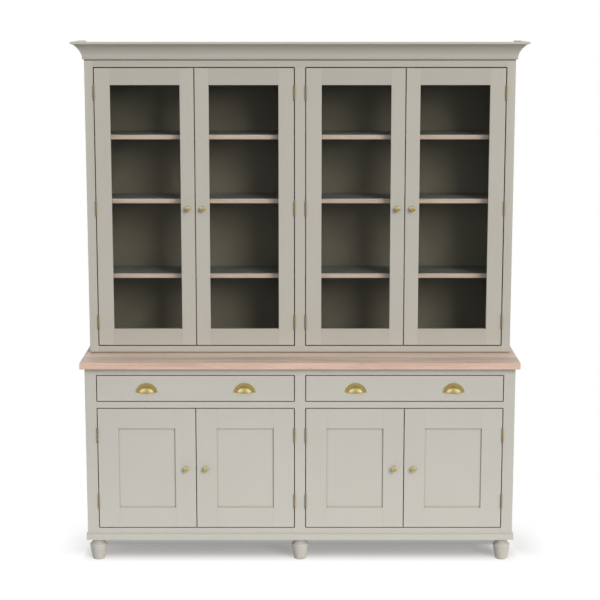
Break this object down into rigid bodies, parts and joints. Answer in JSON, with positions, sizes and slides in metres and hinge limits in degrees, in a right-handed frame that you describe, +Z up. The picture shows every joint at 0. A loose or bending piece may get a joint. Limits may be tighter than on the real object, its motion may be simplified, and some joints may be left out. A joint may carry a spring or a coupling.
{
  "type": "kitchen dresser",
  "caption": "Painted dresser: glazed rack with shelves on a cupboard base with drawers, oak worktop, turned feet and coved cornice.",
  "frame": {"origin": "on the floor, under the middle of the dresser's width and depth", "axes": "+X to the right of someone facing the dresser, +Y from front to back, +Z up"},
  "size_m": [1.967, 0.5, 2.261],
  "materials": {
    "painted_wood": "satin warm grey paint",
    "painted_inside": "flat dark grey paint",
    "oiled_oak": "oiled oak",
    "satin_brass": "satin",
    "clear_glass": "clear float glass"
  },
  "bodies": {
    "carcass": {"worktop": "oiled_oak", "plinth": "painted_wood", "foot_front_left": "painted_wood", "foot_front_middle": "painted_wood", "foot_front_right": "painted_wood", "foot_back_left": "painted_wood", "foot_back_middle": "painted_wood", "foot_back_right": "painted_wood", "base_face_frame": "painted_wood", "base_side_left": "painted_wood", "base_side_right": "painted_wood", "base_partition": "painted_inside", "base_floor": "painted_inside", "base_back": "painted_inside", "base_shelf_left": "oiled_oak", "base_shelf_right": "oiled_oak", "rack_face_frame": "painted_wood", "rack_side_left": "painted_wood", "rack_side_right": "painted_wood", "rack_partition": "painted_inside", "rack_floor": "painted_inside", "rack_top_board": "painted_inside", "rack_back": "painted_inside", "rack_shelf_left_1": "oiled_oak", "rack_shelf_left_2": "oiled_oak", "rack_shelf_left_3": "oiled_oak", "rack_shelf_right_1": "oiled_oak", "rack_shelf_right_2": "oiled_oak", "rack_shelf_right_3": "oiled_oak", "cornice": "painted_wood"},
    "left_drawer": {"drawer_left": "painted_wood", "cup_pull_left_outer": "satin_brass", "cup_pull_left_inner": "satin_brass"},
    "right_drawer": {"drawer_right": "painted_wood", "cup_pull_right_inner": "satin_brass", "cup_pull_right_outer": "satin_brass"},
    "cupboard_leaf_left_outer": {"cupboard_door_left_outer": "painted_wood", "cupboard_panel_left_outer": "painted_wood", "cupboard_knob_left_outer": "satin_brass"},
    "cupboard_leaf_left_inner": {"cupboard_door_left_inner": "painted_wood", "cupboard_panel_left_inner": "painted_wood", "cupboard_knob_left_inner": "satin_brass"},
    "cupboard_leaf_right_inner": {"cupboard_door_right_inner": "painted_wood", "cupboard_panel_right_inner": "painted_wood", "cupboard_knob_right_inner": "satin_brass"},
    "cupboard_leaf_right_outer": {"cupboard_door_right_outer": "painted_wood", "cupboard_panel_right_outer": "painted_wood", "cupboard_knob_right_outer": "satin_brass"},
    "glazed_leaf_left_outer": {"glazed_door_left_outer": "painted_wood", "glass_pane_left_outer": "clear_glass", "glazed_knob_left_outer": "satin_brass"},
    "glazed_leaf_left_inner": {"glazed_door_left_inner": "painted_wood", "glass_pane_left_inner": "clear_glass", "glazed_knob_left_inner": "satin_brass"},
    "glazed_leaf_right_inner": {"glazed_door_right_inner": "painted_wood", "glass_pane_right_inner": "clear_glass", "glazed_knob_right_inner": "satin_brass"},
    "glazed_leaf_right_outer": {"glazed_door_right_outer": "painted_wood", "glass_pane_right_outer": "clear_glass", "glazed_knob_right_outer": "satin_brass"}
  },
  "joints": [
    {"name": "left_drawer_slide", "type": "slide", "parent": "carcass", "child": "left_drawer", "axis": [0, -1, 0], "range_m": [0, 0.33]},
    {"name": "right_drawer_slide", "type": "slide", "parent": "carcass", "child": "right_drawer", "axis": [0, -1, 0], "range_m": [0, 0.33]},
    {"name": "cupboard_hinge_left_outer", "type": "hinge", "parent": "carcass", "child": "cupboard_leaf_left_outer", "pos_m": [-0.88175, -0.2293, 0.1545], "axis": [0, 0, -1], "range_deg": [0, 170]},
    {"name": "cupboard_hinge_left_inner", "type": "hinge", "parent": "carcass", "child": "cupboard_leaf_left_inner", "pos_m": [-0.0245, -0.2293, 0.1545], "axis": [0, 0, 1], "range_deg": [0, 90]},
    {"name": "cupboard_hinge_right_inner", "type": "hinge", "parent": "carcass", "child": "cupboard_leaf_right_inner", "pos_m": [0.0245, -0.2293, 0.1545], "axis": [0, 0, -1], "range_deg": [0, 90]},
    {"name": "cupboard_hinge_right_outer", "type": "hinge", "parent": "carcass", "child": "cupboard_leaf_right_outer", "pos_m": [0.88175, -0.2293, 0.1545], "axis": [0, 0, 1], "range_deg": [0, 170]},
    {"name": "glazed_hinge_left_outer", "type": "hinge", "parent": "carcass", "child": "glazed_leaf_left_outer", "pos_m": [-0.89175, -0.0283, 0.93], "axis": [0, 0, -1], "range_deg": [0, 170]},
    {"name": "glazed_hinge_left_inner", "type": "hinge", "parent": "carcass", "child": "glazed_leaf_left_inner", "pos_m": [-0.0245, -0.0283, 0.93], "axis": [0, 0, 1], "range_deg": [0, 90]},
    {"name": "glazed_hinge_right_inner", "type": "hinge", "parent": "carcass", "child": "glazed_leaf_right_inner", "pos_m": [0.0245, -0.0283, 0.93], "axis": [0, 0, -1], "range_deg": [0, 90]},
    {"name": "glazed_hinge_right_outer", "type": "hinge", "parent": "carcass", "child": "glazed_leaf_right_outer", "pos_m": [0.89175, -0.0283, 0.93], "axis": [0, 0, 1], "range_deg": [0, 170]}
  ]
}
